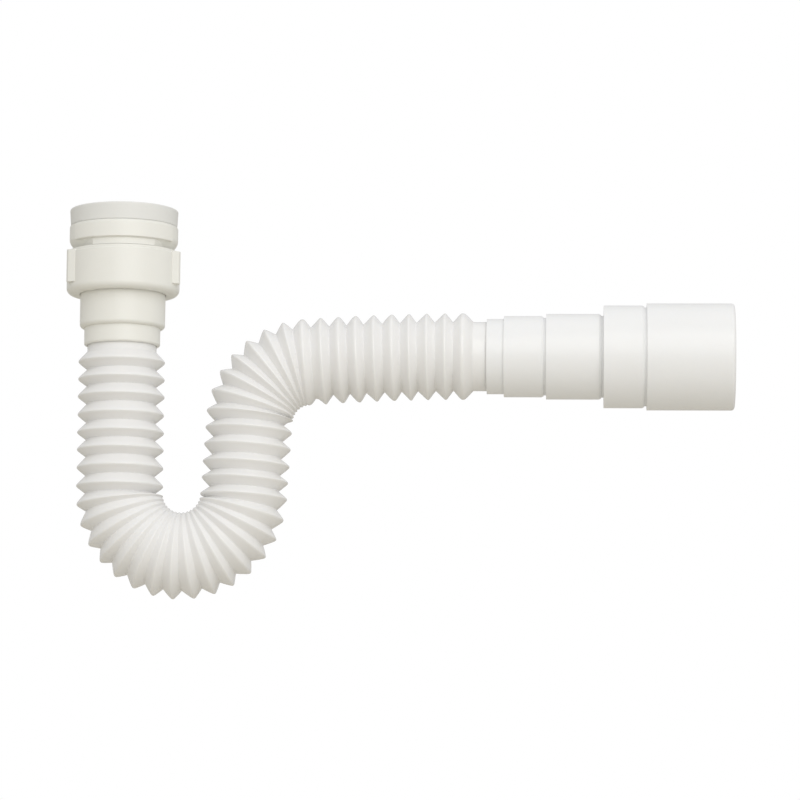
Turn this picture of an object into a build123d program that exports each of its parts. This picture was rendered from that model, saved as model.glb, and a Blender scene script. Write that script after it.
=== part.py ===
import math
import os
from build123d import *

# Corrugated trap, millimetres, Z up, origin at the centre of the inlet mouth, X towards the outlet.

# Corrugated tube
root_r = 16.2
pleat_height = 4.1
wall_radial = 1.3
crest_share = 0.57
tube_below_socket = 2.85
inlet_cuff = 16.7
outlet_cuff = 24.6
leg = 66.9
u_bend_r = 29.1
u_turn = 176.4
riser = 37.6
elbow_r = 28.5
run = 76.8
run_rise = 4.2
leg_pleats = 8
u_pleats = 15.5
riser_pleats = 4.8
elbow_pleats = 7.3
run_pleats = 9.4

# Inlet tailpiece, its socket round the tube, and the union washer over its flange
fit_gap = 0.1
socket_wall = 1.6
socket_length = 8.3
stop_lip = 1.0
stop_height = 2.0
neck_step = 2.2
neck_wall = 2.0
neck_length = 18.9
flange_width = 3.4
washer_inset = 1.5
washer_height = 2.5

# Union nut
nut_gap = 0.3
nut_clearance = 0.5
nut_wall = 2.6
nut_height = 20.2
nut_round = 2.8
nut_edge = 0.4
collar_inset = 0.5
collar_height = 1.3
lip_clearance = 0.4
lip_height = 3.0
rib_turns = [-17.0, -150.0, 96.0]
rib_height = 2.1
rib_foot = 7.0
rib_crest = 1.8
rib_top_inset = 0.8
rib_length = 15.2

# Inlet adapter, with two grip pads over skirts round its tapered head and a spigot for the nut
thread_depth = 1.5
head_overhang = 3.1
head_edge = 0.6
head_height = 11.7
head_taper = 4.2
pad_height = 1.0
pad_inset = 1.0
pad_length = 7.4
pad_arc = 120.0
pad_turn = -84.0
skirt_inset = 0.4
skirt_arc = 70.0
spigot_wall = 1.9
spigot_length = 12.2
ledge_width = 3.5

# Inlet seal, pushed into the mouth of the adapter
inlet_r = 16.1
seal_flange = 8.2
seal_taper = 0.5
seal_round = 0.8
plug_length = 14.0

# Outlet adapter: rise of each step over the one before, length of each, then its cutting grooves
step_rises = [1.4, 1.4, 1.0, 4.0, 1.0]
step_lengths = [8.0, 19.7, 26.8, 20.1, 40.9]
step_wall = 2.0
cuff_in_outlet = 16.8
groove_depth = 0.9
groove_width = 1.2
lead_in = 1.0
end_round = 1.6

# Two edges are one size when they differ by less than this
same = 0.01

os.makedirs("parts", exist_ok=True)

# Radii, all from the tube outwards
crest_r = root_r + pleat_height
socket_r = root_r + socket_wall
stop_r = root_r - stop_lip
neck_r = socket_r + neck_step
neck_bore_r = neck_r - neck_wall
flange_r = neck_r + flange_width
washer_r = neck_bore_r - washer_inset
nut_bore_r = flange_r + nut_clearance
nut_r = nut_bore_r + nut_wall
collar_r = nut_r - collar_inset
lip_r = neck_r + lip_clearance
spigot_r = nut_bore_r - thread_depth
head_r = spigot_r + head_overhang
skirt_r = head_r - skirt_inset
adapter_bore_r = spigot_r - spigot_wall
adapter_water_r = adapter_bore_r - ledge_width
plug_r = adapter_bore_r - fit_gap / 2
step_radii = [root_r + sum(step_rises[: n + 1]) for n in range(len(step_rises))]

# Heights, from the mouth down
head_top = -seal_flange
head_bottom = head_top - head_height
ledge = head_top - plug_length
spigot_bottom = head_bottom - spigot_length
nut_top = head_bottom - nut_gap
nut_bottom = nut_top - nut_height
lip_top = nut_bottom + lip_height
washer_bottom = spigot_bottom - washer_height
neck_bottom = lip_top - neck_length
socket_bottom = neck_bottom - socket_length
tube_top = socket_bottom - tube_below_socket
tube_end = tube_top + inlet_cuff
u_level = tube_top - leg

# Middle line of the tube: down leg, U bend, riser, elbow and a run that eases level
lean = math.radians(180.0 - u_turn)
rise = math.radians(run_rise)
run_r = run / rise
u_length = u_bend_r * math.radians(u_turn)
elbow_length = elbow_r * (math.pi / 2 - rise - lean)
riser_x = u_bend_r + u_bend_r * math.cos(lean)
riser_z = u_level - u_bend_r * math.sin(lean)
elbow_x = riser_x + riser * math.sin(lean) + elbow_r * math.cos(lean)
elbow_z = riser_z + riser * math.cos(lean) - elbow_r * math.sin(lean)
run_end = elbow_x + (run_r - elbow_r) * math.sin(rise)
run_z = elbow_z - (run_r - elbow_r) * math.cos(rise)
outlet_z = run_z + run_r
outlet_start = run_end + outlet_cuff - cuff_in_outlet

lengths = [leg, u_length, riser, elbow_length, run]
counts = [leg_pleats, u_pleats, riser_pleats, elbow_pleats, run_pleats]
pleats = round(sum(counts))


# Distance along the middle line of a place counted in pleats
def distance(place):
    done = 0.0
    for length, count in zip(lengths, counts):
        if place <= count:
            return done + length * place / count
        done += length
        place -= count
    return done


# Plane across the tube at a distance along its middle line
def across(s):
    u_end = leg + u_length
    riser_end = u_end + riser
    elbow_end = riser_end + elbow_length
    run_stop = elbow_end + run
    if s <= leg:
        x, z, turn = 0.0, tube_top - s, math.pi
    elif s <= u_end:
        angle = (s - leg) / u_bend_r
        x = u_bend_r - u_bend_r * math.cos(angle)
        z = u_level - u_bend_r * math.sin(angle)
        turn = math.pi - angle
    elif s <= riser_end:
        x = riser_x + (s - u_end) * math.sin(lean)
        z = riser_z + (s - u_end) * math.cos(lean)
        turn = lean
    elif s <= elbow_end:
        turn = lean + (s - riser_end) / elbow_r
        x = elbow_x - elbow_r * math.cos(turn)
        z = elbow_z + elbow_r * math.sin(turn)
    elif s <= run_stop:
        turn = math.pi / 2 - rise + (s - elbow_end) / run_r
        x = run_end - run_r * math.cos(turn)
        z = run_z + run_r * math.sin(turn)
    else:
        x, z, turn = run_end + s - run_stop, outlet_z, math.pi / 2
    return Plane(origin=(x, 0, z), x_dir=(0, 1, 0), z_dir=(math.sin(turn), 0, math.cos(turn)))


# Round edges of a piece with a given radius, from the lowest up
def rims(piece, r):
    round_edges = piece.edges().filter_by(GeomType.CIRCLE)
    return round_edges.filter_by(lambda e: abs(e.radius - r) < same).sort_by(Axis.Z)


# Circles of the tube, each a distance and a radius: cuff, then roots and crests, then cuff
rings = [(-inlet_cuff, root_r)]
for pleat in range(pleats):
    rings.append((distance(pleat), root_r))
    rings.append((distance(pleat + crest_share), crest_r))
rings.append((distance(pleats), root_r))
rings.append((distance(pleats) + outlet_cuff, root_r))

with BuildPart() as corrugated_tube:
    for s, r in rings:
        with BuildSketch(across(s)):
            Circle(r)
    loft(ruled=True)
    for s, r in rings:
        with BuildSketch(across(s)):
            Circle(r - wall_radial)
    loft(ruled=True, mode=Mode.SUBTRACT)

# Inlet seal: plain flange over a plug
with BuildPart() as inlet_seal:
    with BuildSketch(Plane.XZ):
        with BuildLine():
            Polyline(
                (inlet_r, 0),
                (head_r, 0),
                (head_r - seal_taper, head_top),
                (plug_r, head_top),
                (plug_r, ledge),
                (inlet_r, ledge),
                close=True,
            )
        make_face()
    revolve(axis=Axis.Z)
    fillet(rims(inlet_seal, head_r) + rims(inlet_seal, head_r - seal_taper), radius=seal_round)

# Inlet adapter: head with grip pads and skirts, spigot below
with BuildPart() as inlet_adapter:
    with BuildSketch(Plane.XZ):
        with BuildLine():
            Polyline(
                (adapter_bore_r, head_top),
                (head_r, head_top),
                (head_r, head_bottom + head_taper),
                (spigot_r, head_bottom),
                (spigot_r, spigot_bottom),
                (adapter_water_r, spigot_bottom),
                (adapter_water_r, ledge),
                (adapter_bore_r, ledge),
                close=True,
            )
        make_face()
    revolve(axis=Axis.Z)
    fillet(rims(inlet_adapter, head_r)[0], radius=head_taper)
    fillet(rims(inlet_adapter, head_r)[-1], radius=head_edge)
    for turn in (0, 180):
        with BuildSketch(Plane.XZ.rotated((0, 0, pad_turn - pad_arc / 2 + turn))):
            with Locations((head_r - pad_inset, head_top - pad_inset - pad_length / 2)):
                RectangleRounded(2 * (pad_inset + pad_height), pad_length, pad_height / 2)
        revolve(axis=Axis.Z, revolution_arc=pad_arc)
        with BuildSketch(Plane.XZ.rotated((0, 0, pad_turn - skirt_arc / 2 + turn))):
            with Locations(((adapter_bore_r + skirt_r + fit_gap) / 2, head_bottom + head_taper / 2)):
                Rectangle(skirt_r - adapter_bore_r - fit_gap, head_taper)
        revolve(axis=Axis.Z, revolution_arc=skirt_arc)

# Union nut: round body with an inner lip, then the grip ribs
with BuildPart() as union_nut:
    with BuildSketch(Plane.XZ):
        with BuildLine():
            Polyline(
                (nut_bore_r, nut_top),
                (collar_r, nut_top),
                (collar_r, nut_top - collar_height),
                (nut_r, nut_top - collar_height),
                (nut_r, nut_bottom),
                (lip_r, nut_bottom),
                (lip_r, lip_top),
                (nut_bore_r, lip_top),
                close=True,
            )
        make_face()
    revolve(axis=Axis.Z)
    fillet(rims(union_nut, nut_r)[0], radius=nut_round)
    fillet(rims(union_nut, nut_r)[-1], radius=nut_edge)
    for turn in rib_turns:
        outward = (math.cos(math.radians(turn)), math.sin(math.radians(turn)), 0)
        with BuildSketch(Plane(origin=(0, 0, nut_top - rib_top_inset), x_dir=outward, z_dir=(0, 0, 1))):
            with BuildLine():
                Polyline(
                    (nut_bore_r + nut_edge, -rib_foot / 2),
                    (nut_r, -rib_foot / 2),
                    (nut_r + rib_height, -rib_crest / 2),
                    (nut_r + rib_height, rib_crest / 2),
                    (nut_r, rib_foot / 2),
                    (nut_bore_r + nut_edge, rib_foot / 2),
                    close=True,
                )
            make_face()
        extrude(amount=-rib_length)

# Union washer
with BuildPart() as union_washer:
    with BuildSketch(Plane.XY.offset(washer_bottom)):
        Circle(flange_r)
        Circle(washer_r, mode=Mode.SUBTRACT)
    extrude(amount=washer_height)

# Inlet tailpiece: flange under the washer, stepped neck, socket for the tube
with BuildPart() as inlet_tailpiece:
    with BuildSketch(Plane.XZ):
        with BuildLine():
            Polyline(
                (neck_bore_r, washer_bottom),
                (flange_r, washer_bottom),
                (flange_r, lip_top),
                (neck_r, lip_top),
                (neck_r, neck_bottom),
                (socket_r, neck_bottom),
                (socket_r, socket_bottom),
                (root_r + fit_gap / 2, socket_bottom),
                (root_r + fit_gap / 2, tube_end),
                (stop_r, tube_end),
                (stop_r, tube_end + stop_height),
                (neck_bore_r, tube_end + 2 * stop_height),
                close=True,
            )
        make_face()
    revolve(axis=Axis.Z)
    fillet(rims(inlet_tailpiece, neck_r)[0], radius=neck_step * 0.8)
    fillet(rims(inlet_tailpiece, socket_r)[0], radius=socket_wall * 0.6)

# Outline of the outlet adapter, a place along X and a radius each, out along the steps and back inside
step_ends = [outlet_start + sum(step_lengths[: n + 1]) for n in range(len(step_lengths))]
outline = [(outlet_start, root_r + fit_gap), (outlet_start, step_radii[0]), (step_ends[0], step_radii[0])]
for n in range(1, len(step_radii)):
    outline.append((step_ends[n - 1], step_radii[n]))
    end, r = step_ends[n], step_radii[n]
    if n < len(step_radii) - 1:
        outline.append((end - groove_width - lead_in, r))
        outline.append((end - groove_width, r - lead_in / 2))
        outline.append((end - groove_width, r - groove_depth))
        outline.append((end, r - groove_depth))
    else:
        outline.append((end, r))
outline.append((step_ends[-1], step_radii[-1] - step_wall))
for n in range(len(step_radii) - 1, 1, -1):
    outline.append((step_ends[n - 1] + step_wall, step_radii[n] - step_wall))
    outline.append((step_ends[n - 1] + step_wall / 2, step_radii[n - 1] - step_wall))
stop = outlet_start + cuff_in_outlet
outline.append((stop + 2 * stop_height, step_radii[1] - step_wall))
outline.append((stop + stop_height, stop_r))
outline.append((stop, stop_r))
outline.append((stop, root_r + fit_gap))

with BuildPart() as outlet_adapter:
    with BuildSketch(Plane.XZ):
        with BuildLine():
            Polyline([(px, outlet_z + pr) for px, pr in outline], close=True)
        make_face()
    revolve(axis=Axis((0, 0, outlet_z), (1, 0, 0)))
    fillet(rims(outlet_adapter, step_radii[-1]).sort_by(Axis.X)[-1], radius=end_round)

corrugated_tube.part.label = "corrugated_tube"
inlet_seal.part.label = "inlet_seal"
inlet_adapter.part.label = "inlet_adapter"
union_nut.part.label = "union_nut"
union_washer.part.label = "union_washer"
inlet_tailpiece.part.label = "inlet_tailpiece"
outlet_adapter.part.label = "outlet_adapter"

export_step(corrugated_tube.part, "parts/corrugated_tube.step")
export_step(inlet_seal.part, "parts/inlet_seal.step")
export_step(inlet_adapter.part, "parts/inlet_adapter.step")
export_step(union_nut.part, "parts/union_nut.step")
export_step(union_washer.part, "parts/union_washer.step")
export_step(inlet_tailpiece.part, "parts/inlet_tailpiece.step")
export_step(outlet_adapter.part, "parts/outlet_adapter.step")
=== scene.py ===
import math

import bmesh
import bpy
from mathutils import Matrix, Vector


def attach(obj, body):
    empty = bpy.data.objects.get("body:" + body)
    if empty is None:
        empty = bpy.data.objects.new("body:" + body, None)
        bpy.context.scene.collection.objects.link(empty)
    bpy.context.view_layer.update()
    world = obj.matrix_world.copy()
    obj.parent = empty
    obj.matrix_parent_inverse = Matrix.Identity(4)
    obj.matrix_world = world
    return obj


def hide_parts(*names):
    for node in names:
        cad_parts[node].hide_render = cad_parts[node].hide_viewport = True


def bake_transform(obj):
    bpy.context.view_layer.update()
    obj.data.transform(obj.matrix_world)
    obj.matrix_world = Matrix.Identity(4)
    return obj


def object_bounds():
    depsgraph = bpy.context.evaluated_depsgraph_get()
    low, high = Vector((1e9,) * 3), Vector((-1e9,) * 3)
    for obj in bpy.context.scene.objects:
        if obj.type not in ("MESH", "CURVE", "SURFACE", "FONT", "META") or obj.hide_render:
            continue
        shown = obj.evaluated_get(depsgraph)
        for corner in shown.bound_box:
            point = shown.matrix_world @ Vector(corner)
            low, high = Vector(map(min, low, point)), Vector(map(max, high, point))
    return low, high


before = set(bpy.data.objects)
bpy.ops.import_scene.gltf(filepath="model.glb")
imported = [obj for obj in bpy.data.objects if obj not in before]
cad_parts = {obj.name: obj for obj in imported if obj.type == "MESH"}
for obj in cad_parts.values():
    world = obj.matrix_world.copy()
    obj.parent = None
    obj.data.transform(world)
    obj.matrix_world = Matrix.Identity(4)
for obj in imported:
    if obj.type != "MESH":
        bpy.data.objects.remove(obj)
cad_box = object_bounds()

MM = 0.001

# Route of the tube's middle line, in millimetres, as the solids have it
TUBE_TOP = -67.45
LEG = 66.9
U_R = 29.1
U_TURN = math.radians(176.4)
RISER = 37.6
ELBOW_R = 28.5
RUN = 76.8
RISE = math.radians(4.2)
INLET_CUFF = 16.7
OUTLET_CUFF = 24.6

# Pleats: radii and wall in millimetres, place of the crest in a pleat, count on each length of the route
ROOT_R = 16.2
CREST_R = 20.3
WALL = 1.3
CREST_SHARE = 0.57
LEG_PLEATS = 8
U_PLEATS = 15.5
RISER_PLEATS = 4.8
ELBOW_PLEATS = 7.3
RUN_PLEATS = 9.4
PLEATS = [LEG_PLEATS, U_PLEATS, RISER_PLEATS, ELBOW_PLEATS, RUN_PLEATS]
PLEAT_COUNT = round(sum(PLEATS))

# Places worked out from the route
LEAN = math.pi - U_TURN
U_LEVEL = TUBE_TOP - LEG
RUN_R = RUN / RISE
RISER_X = U_R + U_R * math.cos(LEAN)
RISER_Z = U_LEVEL - U_R * math.sin(LEAN)
ELBOW_X = RISER_X + RISER * math.sin(LEAN) + ELBOW_R * math.cos(LEAN)
ELBOW_Z = RISER_Z + RISER * math.cos(LEAN) - ELBOW_R * math.sin(LEAN)
RUN_END = ELBOW_X + (RUN_R - ELBOW_R) * math.sin(RISE)
RUN_Z = ELBOW_Z - (RUN_R - ELBOW_R) * math.cos(RISE)
OUTLET_Z = RUN_Z + RUN_R

# Lengths of the route, and how far along it each one ends
U_LENGTH = U_R * U_TURN
ELBOW_LENGTH = ELBOW_R * (math.pi / 2 - RISE - LEAN)
LENGTHS = [LEG, U_LENGTH, RISER, ELBOW_LENGTH, RUN]
U_STOP = LEG + U_LENGTH
RISER_STOP = U_STOP + RISER
ELBOW_STOP = RISER_STOP + ELBOW_LENGTH
RUN_STOP = ELBOW_STOP + RUN

# Rounding of the folds, as a share of a pleat to each side, and the steps that it is averaged over
FOLD = 0.03
FOLD_STEPS = 12
# Sharpness of the crests, and of the rounder ones on the elbow and the run, counted from the inlet
SHARP = 14
ROUND_SHARP = 5
ROUND_PLEATS = (35, 37, 38, 40, 44)
# Unevenness as a share of the height and of the pitch, and its turn from pleat to pleat in radians
UNEVEN_HEIGHT = 0.025
HEIGHT_TURN = 2.4
HEIGHT_START = 0.6
UNEVEN_PITCH = 0.035
PITCH_TURN = 1.9
# How much longer the last flank is, down to the outlet cuff, in millimetres
LAST_FLANK = 1.6
# How much shallower the folds are at the inside of a bend, where they close up, in millimetres
FOLD_CLOSE = 3.6
# How quickly the closing fades away from the inside, in the U bend and in the elbow
U_CLOSE_POWER = 0.65
ELBOW_CLOSE_POWER = 1.6
# How fast the closing ends past the elbow, for each pleat of the run
ELBOW_FADE = 1.6
# Points around the tube, and rings along a pleat, which lie close together at the folds
AROUND = 72
OUTER_PLACES = [
    0, 0.02, 0.045, 0.08, 0.2, 0.35, 0.47, 0.525, 0.55,
    0.57, 0.59, 0.615, 0.67, 0.8, 0.92, 0.955, 0.98,
]
INNER_PLACES = [0, 0.28, 0.57, 0.79]

# Union thread, in millimetres: 1 1/2 inch pipe thread, 11 turns an inch
PITCH = 2.309
SPIGOT_R = 22.4
NUT_BORE_R = 23.9
THREAD_GAP = 0.15
MALE_ENDS = (-31.4, -21.1)
FEMALE_ENDS = (-30.8, -21.7)
# Half widths of the ridge in pitches, share of its height at the very ends, turns until it is full
HALF_FOOT = 0.28
HALF_CREST = 0.11
END_HEIGHT = 0.08
RUN_IN = 1 / 3
THREAD_STEPS = 64

# Inlet head as the solids have it: taper from the spigot out, skirts that fill it under the grip pads
HEAD_R = 25.5
HEAD_BOTTOM = -19.9
HEAD_TAPER = 4.2
SKIRT_R = 25.1
SKIRT_MIDDLE = -84.0
SKIRT_ARC = 70.0
# Run of a skirt's end down to the taper, for each millimetre that it stands proud
RAMP_RUN = 4.5
RAMP_STEPS = 8

# How deep the added pieces reach into the solids, in millimetres, and the turn that makes an edge crisp
SUNK = 0.05
CORNER = math.radians(25.0)

# Plastics: share of red, green and blue that glows through and how deep in metres, then clouding and grain
PLASTIC_IOR = 1.49
GLOW_REACH = (1.0, 0.9, 0.75)
GLOW_DEPTH = 0.0015
CLOUD_SCALE = 28.0
CLOUD_DETAIL = 3.0
CLOUD_RANGE = (0.3, 0.7)
GLOSS_SPREAD = 0.05
GRAIN_SCALE = 900.0
GRAIN_DETAIL = 2.0
GRAIN_DEPTH = 0.0002

# Floor in metres, and surroundings
FLOOR_Z = -0.40
FLOOR_HALF = 12.0
FLOOR_COLOUR = (0.70, 0.67, 0.60, 1)
FLOOR_ROUGHNESS = 0.8
BACKDROP_COLOUR = (1, 1, 1, 1)
BACKDROP_STRENGTH = 1.0
AMBIENT_COLOUR = (1.0, 0.993, 0.976, 1)
AMBIENT_STRENGTH = 0.64

# Camera: place in millimetres, turns in radians, lens in pixels of an 800 pixel frame
CAMERA_PLACE = (215.0, -1942.1, -366.3)
CAMERA_YAW = -0.0433
CAMERA_PITCH = 0.1413
CAMERA_ROLL = 0.0082
CAMERA_FOCAL = 4200.0
FRAME_PIXELS = 800.0
SENSOR = 36.0


# Triangle wave over one pleat, 0 at the roots and 1 at the crest
def fold_line(u):
    u = u % 1.0
    if u < CREST_SHARE:
        return u / CREST_SHARE
    return (1 - u) / (1 - CREST_SHARE)


# The same wave with its corners rounded
def rounded_fold(u):
    places = [u + FOLD * (2 * k / FOLD_STEPS - 1) for k in range(FOLD_STEPS + 1)]
    return sum(fold_line(place) for place in places) / len(places)


# Share of the height with blunt crests, from 0 at the roots to 1 at the crests
def blunt_fold(u, sharp):
    low, high = rounded_fold(0), rounded_fold(CREST_SHARE)
    share = (rounded_fold(u) - low) / (high - low)
    return (share - share ** sharp / sharp) / (1 - 1 / sharp)


# How far a root strays along the tube, in pleats
def stray(root):
    return UNEVEN_PITCH * math.sin(PITCH_TURN * root) if 0 < root < PLEAT_COUNT else 0.0


# Distance along the middle line of a place counted in pleats
def distance(place):
    done = 0.0
    for length, count in zip(LENGTHS, PLEATS):
        if place <= count:
            return done + length * place / count
        done += length
        place -= count
    return done


# Distance along the middle line of a place in one pleat
def flank_place(pleat, u):
    place = distance(pleat + u + stray(pleat) * (1 - u) + stray(pleat + 1) * u)
    if pleat == PLEAT_COUNT - 1 and u > CREST_SHARE:
        place += LAST_FLANK * (u - CREST_SHARE) / (1 - CREST_SHARE)
    return place


# Middle point of the tube and its direction in the XZ plane
def middle(s):
    if s <= LEG:
        return 0.0, TUBE_TOP - s, math.pi
    if s <= U_STOP:
        angle = (s - LEG) / U_R
        return U_R - U_R * math.cos(angle), U_LEVEL - U_R * math.sin(angle), math.pi - angle
    if s <= RISER_STOP:
        done = s - U_STOP
        return RISER_X + done * math.sin(LEAN), RISER_Z + done * math.cos(LEAN), LEAN
    if s <= ELBOW_STOP:
        turn = LEAN + (s - RISER_STOP) / ELBOW_R
        return ELBOW_X - ELBOW_R * math.cos(turn), ELBOW_Z + ELBOW_R * math.sin(turn), turn
    if s <= RUN_STOP:
        turn = math.pi / 2 - RISE + (s - ELBOW_STOP) / RUN_R
        return RUN_END - RUN_R * math.cos(turn), RUN_Z + RUN_R * math.sin(turn), turn
    return RUN_END + s - RUN_STOP, OUTLET_Z, math.pi / 2


# How far into a bend a place lies: up to 1 in the U bend, down to -1 in the elbow, 0 on the straights
def bend_side(s):
    in_u = min(s - LEG, U_STOP - s) * U_PLEATS / U_LENGTH
    into_elbow = (s - RISER_STOP) * ELBOW_PLEATS / ELBOW_LENGTH
    past_elbow = (s - ELBOW_STOP) * RUN_PLEATS / RUN
    return max(0.0, min(1.0, in_u)) - max(0.0, min(1.0, into_elbow, 1 - ELBOW_FADE * past_elbow))


# Points of one ring of the tube; share is 0 at a root and 1 at a crest
def ring(s, share, wall):
    x, z, turn = middle(s)
    bend = bend_side(s)
    power = U_CLOSE_POWER if bend > 0 else ELBOW_CLOSE_POWER
    points = []
    for k in range(AROUND):
        a = 2 * math.pi * k / AROUND
        inward = (1 - math.copysign(1, bend) * math.cos(a)) / 2
        closing = FOLD_CLOSE * abs(bend) * (1 - share) * inward ** power
        r = ROOT_R + (CREST_R - ROOT_R) * share + closing - wall
        side = r * math.cos(a)
        points.append((
            (x + side * math.cos(turn)) * MM,
            r * math.sin(a) * MM,
            (z - side * math.sin(turn)) * MM,
        ))
    return points


# Smooth closed mesh with all its faces turned outwards
def new_mesh(name, points, faces):
    mesh = bpy.data.meshes.new(name)
    mesh.from_pydata(points, [], faces)
    mesh.validate()
    shape = bmesh.new()
    shape.from_mesh(mesh)
    bmesh.ops.recalc_face_normals(shape, faces=shape.faces)
    for face in shape.faces:
        face.smooth = True
    shape.to_mesh(mesh)
    shape.free()
    piece = bpy.data.objects.new(name, mesh)
    bpy.context.scene.collection.objects.link(piece)
    return piece


# The same with crisp edges
def crisp_mesh(name, points, faces):
    piece = new_mesh(name, points, faces)
    piece.data.set_sharp_from_angle(angle=CORNER)
    return piece


# Point in metres from a radius, an angle and a height in millimetres
def polar(r, angle, z):
    return r * math.cos(angle) * MM, r * math.sin(angle) * MM, z * MM


# Faces of a closed bar: its two ends, and the sides between sections with the same count of corners
def bar_faces(first, steps, corners):
    last = first + steps * corners
    faces = [range(first, first + corners), range(last + corners - 1, last - 1, -1)]
    for n in range(first, last, corners):
        for k in range(corners):
            after = (k + 1) % corners
            faces.append((n + k, n + corners + k, n + corners + after, n + after))
    return faces


# Bellows: outside from cuff to cuff, then back along the inside
def bellows():
    outside = [(-INLET_CUFF, 0.0, 0.0)]
    inside = [(-INLET_CUFF, 0.0, WALL)]
    for pleat in range(PLEAT_COUNT):
        height = 1 - UNEVEN_HEIGHT * (1 + math.sin(HEIGHT_TURN * pleat + HEIGHT_START)) / 2
        sharp = ROUND_SHARP if pleat in ROUND_PLEATS else SHARP
        for u in OUTER_PLACES:
            share = fold_line(u) if pleat == 0 and u < FOLD else blunt_fold(u, sharp)
            outside.append((flank_place(pleat, u), share * height, 0.0))
        for u in INNER_PLACES:
            inside.append((flank_place(pleat, u), fold_line(u) * height, WALL))
    for rings, wall in ((outside, 0.0), (inside, WALL)):
        rings.append((RUN_STOP + LAST_FLANK, 0.0, wall))
        rings.append((RUN_STOP + OUTLET_CUFF, 0.0, wall))
    rings = outside + inside[::-1]
    points = [p for s, share, wall in rings for p in ring(s, share, wall)]
    faces = []
    for n in range(len(rings)):
        here, there = n * AROUND, (n + 1) % len(rings) * AROUND
        for k in range(AROUND):
            after = (k + 1) % AROUND
            faces.append((here + k, here + after, there + after, there + k))
    return new_mesh("bellows", points, faces)


# Ridge of a right-hand thread: foot and crest radius, heights of its ends, share of a turn it is turned by
def thread(name, foot, crest, ends, phase):
    half_foot, half_crest = PITCH * HALF_FOOT, PITCH * HALF_CREST
    steps = round((ends[1] - ends[0]) / PITCH * THREAD_STEPS)
    fade = THREAD_STEPS * RUN_IN
    points = []
    for n in range(steps + 1):
        angle = 2 * math.pi * (n / THREAD_STEPS + phase)
        z = ends[0] + PITCH * n / THREAD_STEPS
        grown = min(1.0, n / fade, (steps - n) / fade)
        top = foot + (crest - foot) * (END_HEIGHT + (1 - END_HEIGHT) * grown)
        section = ((foot, -half_foot), (top, -half_crest), (top, half_crest), (foot, half_foot))
        points.extend(polar(r, angle, z + dz) for r, dz in section)
    return crisp_mesh(name, points, bar_faces(0, steps, len(section)))


# Ramps that ease the ends of the skirts down to the taper: triangles stacked up the taper
def skirt_ramps():
    ends = [(SKIRT_MIDDLE + side, way) for side in (0.0, 180.0) for way in (-1, 1)]
    points, faces = [], []
    for middle_angle, way in ends:
        end_angle = math.radians(middle_angle + way * SKIRT_ARC / 2)
        first = len(points)
        for n in range(RAMP_STEPS + 1):
            rise = HEAD_TAPER * n / RAMP_STEPS
            taper_r = SPIGOT_R + (HEAD_R - SPIGOT_R) * rise / HEAD_TAPER - SUNK
            proud = max(SUNK, SKIRT_R - taper_r)
            run = way * RAMP_RUN * proud / SKIRT_R
            inside = -way * SUNK / SKIRT_R
            section = ((taper_r, inside), (taper_r, run), (min(SKIRT_R, taper_r + proud), inside))
            points.extend(polar(r, end_angle + turn, HEAD_BOTTOM + rise) for r, turn in section)
        faces.extend(bar_faces(first, RAMP_STEPS, len(section)))
    return crisp_mesh("skirt_ramps", points, faces)


# Moulded plastic: base colour with faint clouding, fine grain in the bump and uneven gloss
def plastic(name, colour, roughness, cloud, grain, glow):
    material = bpy.data.materials.new(name)
    material.use_nodes = True
    nodes, links = material.node_tree.nodes, material.node_tree.links
    shader = nodes["Principled BSDF"]
    shader.inputs["IOR"].default_value = PLASTIC_IOR
    shader.inputs["Subsurface Weight"].default_value = glow
    shader.inputs["Subsurface Radius"].default_value = GLOW_REACH
    shader.inputs["Subsurface Scale"].default_value = GLOW_DEPTH
    place = nodes.new("ShaderNodeTexCoord")

    clouds = nodes.new("ShaderNodeTexNoise")
    clouds.inputs["Scale"].default_value = CLOUD_SCALE
    clouds.inputs["Detail"].default_value = CLOUD_DETAIL
    links.new(place.outputs["Object"], clouds.inputs["Vector"])
    tint = nodes.new("ShaderNodeValToRGB")
    dark, light = tint.color_ramp.elements
    dark.position, light.position = CLOUD_RANGE
    dark.color = [c * (1 - cloud) for c in colour] + [1]
    light.color = [min(1, c * (1 + cloud)) for c in colour] + [1]
    links.new(clouds.outputs["Fac"], tint.inputs["Fac"])
    links.new(tint.outputs["Color"], shader.inputs["Base Color"])

    gloss = nodes.new("ShaderNodeMapRange")
    gloss.inputs["To Min"].default_value = roughness - GLOSS_SPREAD
    gloss.inputs["To Max"].default_value = roughness + GLOSS_SPREAD
    links.new(clouds.outputs["Fac"], gloss.inputs["Value"])
    links.new(gloss.outputs["Result"], shader.inputs["Roughness"])

    speckle = nodes.new("ShaderNodeTexNoise")
    speckle.inputs["Scale"].default_value = GRAIN_SCALE
    speckle.inputs["Detail"].default_value = GRAIN_DETAIL
    links.new(place.outputs["Object"], speckle.inputs["Vector"])
    bump = nodes.new("ShaderNodeBump")
    bump.inputs["Strength"].default_value = grain
    bump.inputs["Distance"].default_value = GRAIN_DEPTH
    links.new(speckle.outputs["Fac"], bump.inputs["Height"])
    links.new(bump.outputs["Normal"], shader.inputs["Normal"])
    return material


# One material on the whole of a piece
def paint(piece, material):
    if not piece.material_slots:
        piece.data.materials.append(material)
    for place in piece.material_slots:
        place.material = material


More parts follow.
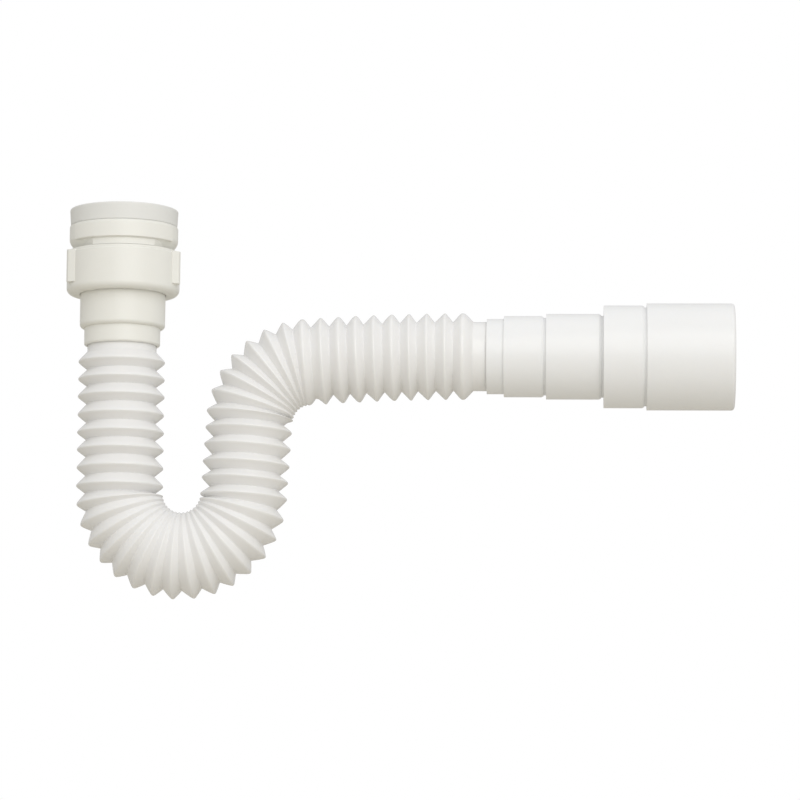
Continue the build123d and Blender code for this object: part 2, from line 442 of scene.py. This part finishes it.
# Pale floor
def new_floor():
    mesh = bpy.data.meshes.new("floor")
    h = FLOOR_HALF
    corners = [(-h, -h, FLOOR_Z), (h, -h, FLOOR_Z), (h, h, FLOOR_Z), (-h, h, FLOOR_Z)]
    mesh.from_pydata(corners, [], [(0, 1, 2, 3)])
    material = bpy.data.materials.new("floor_paint")
    material.use_nodes = True
    shader = material.node_tree.nodes["Principled BSDF"]
    shader.inputs["Base Color"].default_value = FLOOR_COLOUR
    shader.inputs["Roughness"].default_value = FLOOR_ROUGHNESS
    mesh.materials.append(material)
    piece = bpy.data.objects.new("floor", mesh)
    bpy.context.scene.collection.objects.link(piece)
    return piece


# White surroundings, softer as light than as backdrop
def surroundings():
    world = bpy.data.worlds.new("studio")
    bpy.context.scene.world = world
    world.use_nodes = True
    nodes, links = world.node_tree.nodes, world.node_tree.links
    backdrop = nodes["Background"]
    backdrop.inputs["Color"].default_value = BACKDROP_COLOUR
    backdrop.inputs["Strength"].default_value = BACKDROP_STRENGTH
    ambient = nodes.new("ShaderNodeBackground")
    ambient.inputs["Color"].default_value = AMBIENT_COLOUR
    ambient.inputs["Strength"].default_value = AMBIENT_STRENGTH
    seen = nodes.new("ShaderNodeLightPath")
    mix = nodes.new("ShaderNodeMixShader")
    links.new(seen.outputs["Is Camera Ray"], mix.inputs["Fac"])
    links.new(ambient.outputs["Background"], mix.inputs[1])
    links.new(backdrop.outputs["Background"], mix.inputs[2])
    links.new(mix.outputs["Shader"], nodes["World Output"].inputs["Surface"])


# Soft box that faces the middle of the object
def soft_box(name, place, size, power, colour):
    lamp = bpy.data.lights.new(name, "AREA")
    lamp.shape = "SQUARE"
    lamp.size = size
    lamp.energy = power
    lamp.color = colour
    holder = bpy.data.objects.new(name, lamp)
    holder.location = place
    centre = (cad_box[0] + cad_box[1]) / 2
    holder.rotation_euler = (centre - Vector(place)).to_track_quat("-Z", "Y").to_euler()
    bpy.context.scene.collection.objects.link(holder)


# Camera at the photograph's viewing angle
def new_camera():
    yaw, pitch, roll = CAMERA_YAW, CAMERA_PITCH, CAMERA_ROLL
    forward = Vector((math.sin(yaw) * math.cos(pitch), math.cos(yaw) * math.cos(pitch), math.sin(pitch)))
    level = Vector((math.cos(yaw), -math.sin(yaw), 0))
    plumb = level.cross(forward)
    right = level * math.cos(roll) + plumb * math.sin(roll)
    up = plumb * math.cos(roll) - level * math.sin(roll)
    optics = bpy.data.cameras.new("camera")
    optics.sensor_width = SENSOR
    optics.lens = CAMERA_FOCAL / FRAME_PIXELS * SENSOR
    holder = bpy.data.objects.new("camera", optics)
    turn = Matrix((right, up, -forward)).transposed().to_4x4()
    holder.matrix_world = Matrix.Translation(Vector(CAMERA_PLACE) * MM) @ turn
    bpy.context.scene.collection.objects.link(holder)
    return holder


# Materials
tube_plastic = plastic(
    "tube_plastic", (0.868, 0.864, 0.858), roughness=0.22, cloud=0.012, grain=0.06, glow=0.06
)
fitting_plastic = plastic(
    "fitting_plastic", (0.84, 0.836, 0.79), roughness=0.38, cloud=0.010, grain=0.08, glow=0.05
)
seal_rubber = plastic(
    "seal_rubber", (0.775, 0.776, 0.752), roughness=0.50, cloud=0.010, grain=0.12, glow=0.05
)
washer_rubber = plastic(
    "washer_rubber", (0.62, 0.62, 0.60), roughness=0.60, cloud=0.015, grain=0.20, glow=0.0
)
sleeve_plastic = plastic(
    "sleeve_plastic", (0.863, 0.867, 0.87), roughness=0.36, cloud=0.008, grain=0.06, glow=0.05
)
for node, material in (
    ("inlet_seal", seal_rubber),
    ("inlet_adapter", fitting_plastic),
    ("union_nut", fitting_plastic),
    ("union_washer", washer_rubber),
    ("inlet_tailpiece", fitting_plastic),
    ("outlet_adapter", sleeve_plastic),
):
    paint(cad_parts[node], material)

# Bellows, which closes up and draws out between the elbow and the outlet
tube = bellows()
paint(tube, tube_plastic)
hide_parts("corrugated_tube")
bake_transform(tube)

# Ends of the skirts on the inlet head
ramps = skirt_ramps()
paint(ramps, fitting_plastic)
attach(ramps, "inlet")

# Thread on the adapter's spigot
male = thread("adapter_thread", SPIGOT_R - SUNK, NUT_BORE_R - THREAD_GAP, MALE_ENDS, 0.0)
paint(male, fitting_plastic)
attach(male, "inlet")

# Thread in the nut, half a pitch away from the spigot's
female_phase = ((FEMALE_ENDS[0] - MALE_ENDS[0]) / PITCH + 0.5) % 1.0
female = thread("nut_thread", NUT_BORE_R + SUNK, SPIGOT_R + THREAD_GAP, FEMALE_ENDS, female_phase)
paint(female, fitting_plastic)
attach(female, "nut")

# Studio
floor = new_floor()
surroundings()
soft_box("key_light", (0.62, -1.93, 0.84), size=2.0, power=23.0, colour=(0.985, 0.99, 1.0))
soft_box("top_light", (0.15, 0.2, 1.6), size=1.6, power=2.0, colour=(1.0, 1.0, 1.0))
camera = new_camera()
bpy.context.scene.camera = camera
bpy.context.scene.view_settings.view_transform = "Standard"
